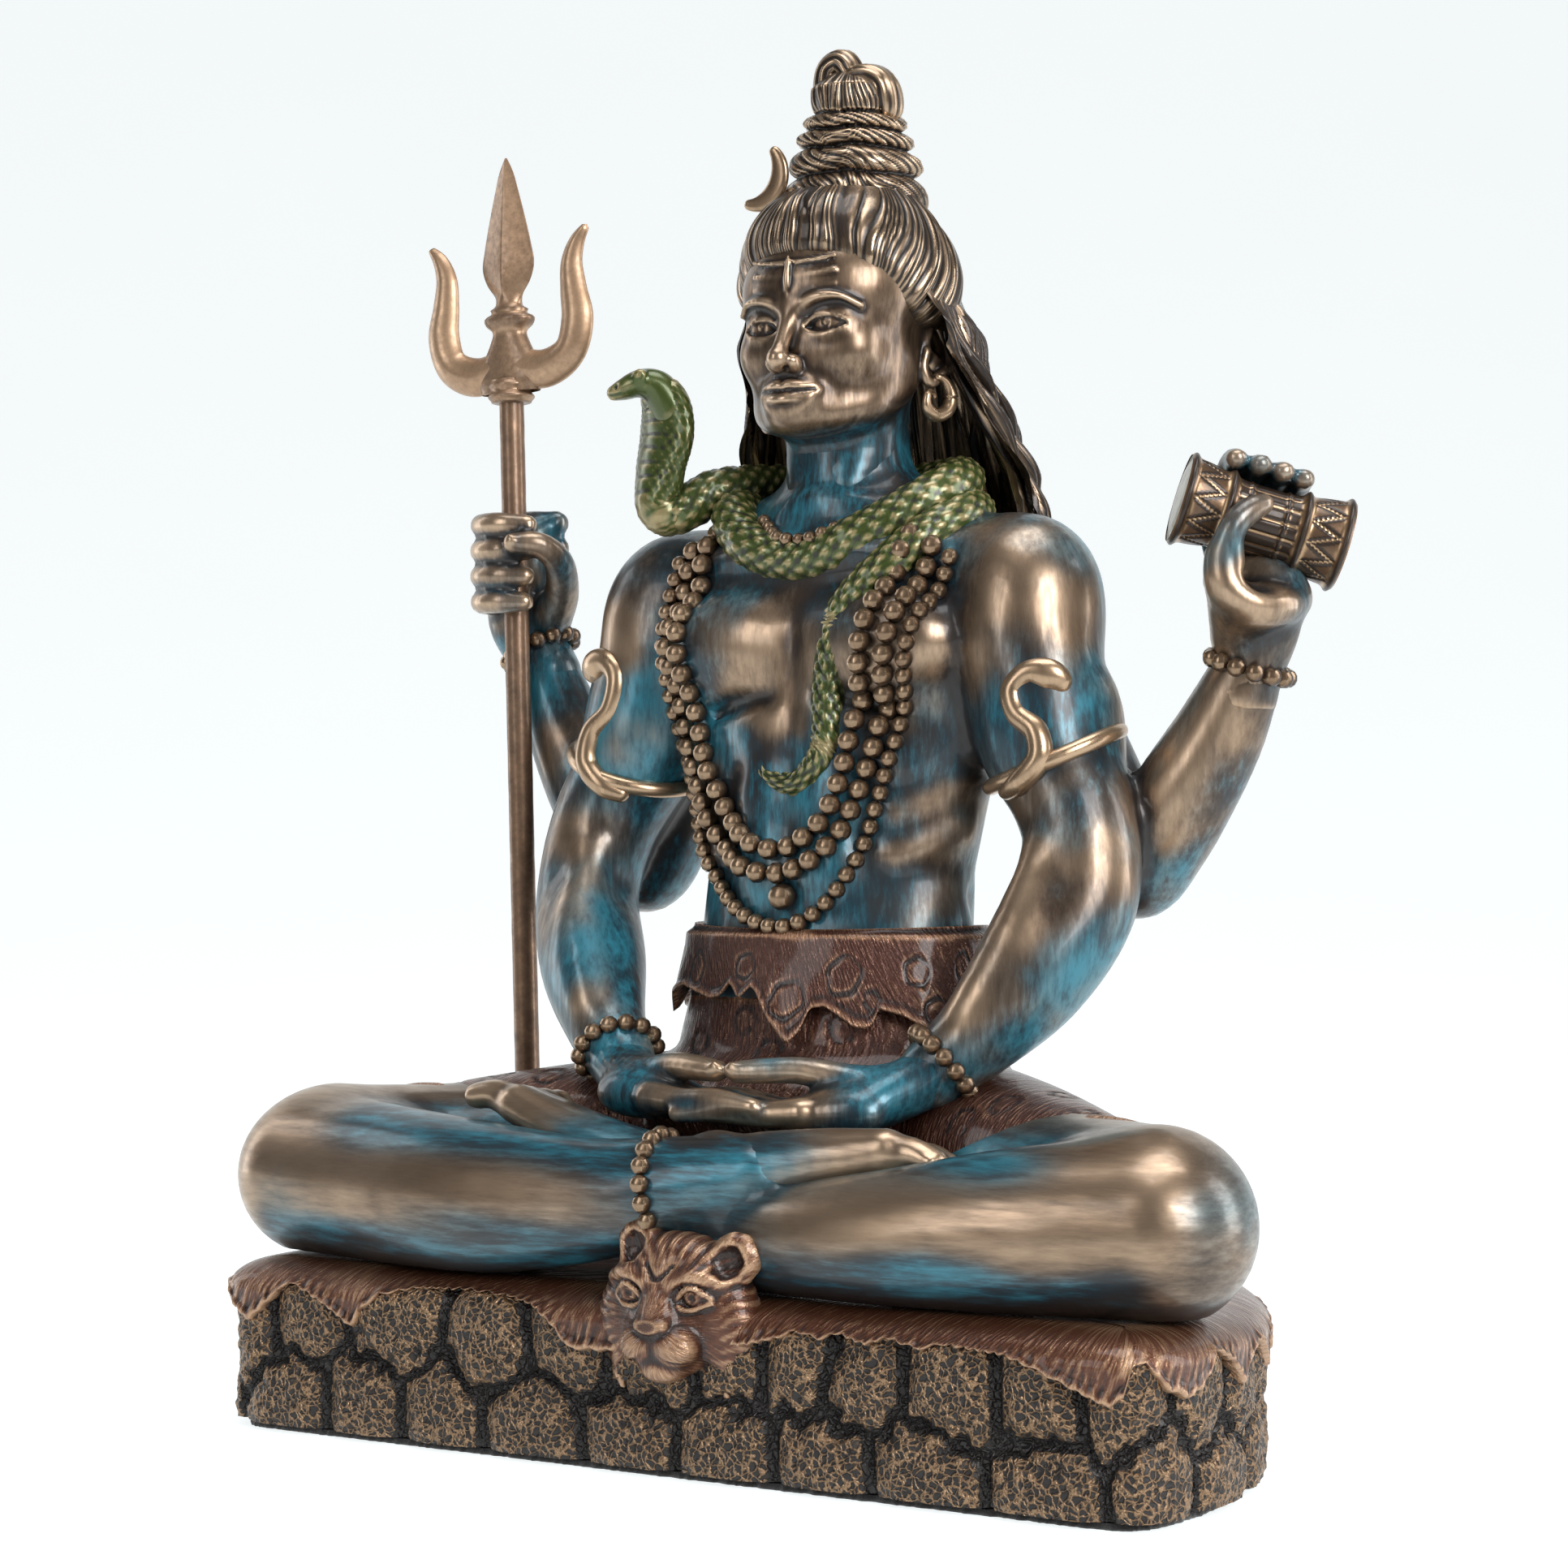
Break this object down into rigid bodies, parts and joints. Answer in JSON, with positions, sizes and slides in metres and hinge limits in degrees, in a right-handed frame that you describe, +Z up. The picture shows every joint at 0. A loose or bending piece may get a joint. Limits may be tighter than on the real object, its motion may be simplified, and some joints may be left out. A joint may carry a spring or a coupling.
{
  "type": "seated shiva figure",
  "caption": "Cross-legged many-armed figure on a stone plinth with a tiger skin, holding a trident and a small hourglass drum, with bead strings and a snake round the neck.",
  "frame": {"origin": "on the supporting surface, under the middle of the plinth", "axes": "+Z up, the figure faces -Y, +X towards the figure's own left hand"},
  "size_m": [0.1853, 0.0966, 0.23],
  "materials": {
    "felt": "thin black felt glued under the plinth",
    "plinth": "cast resin, dark stones dry-brushed with bronze under a red-brown fur",
    "figure": "bronze-powder resin, rubbed bronze with blue-green patina in the hollows",
    "shaft": "round rod with a brown bronze coat",
    "trident": "bronze-powder resin, satin bronze"
  },
  "bodies": {
    "root": {"felt_pad": "felt", "rock_plinth": "plinth", "shiva_figure": "figure", "trident_shaft": "shaft", "trident_head": "trident"}
  },
  "joints": []
}
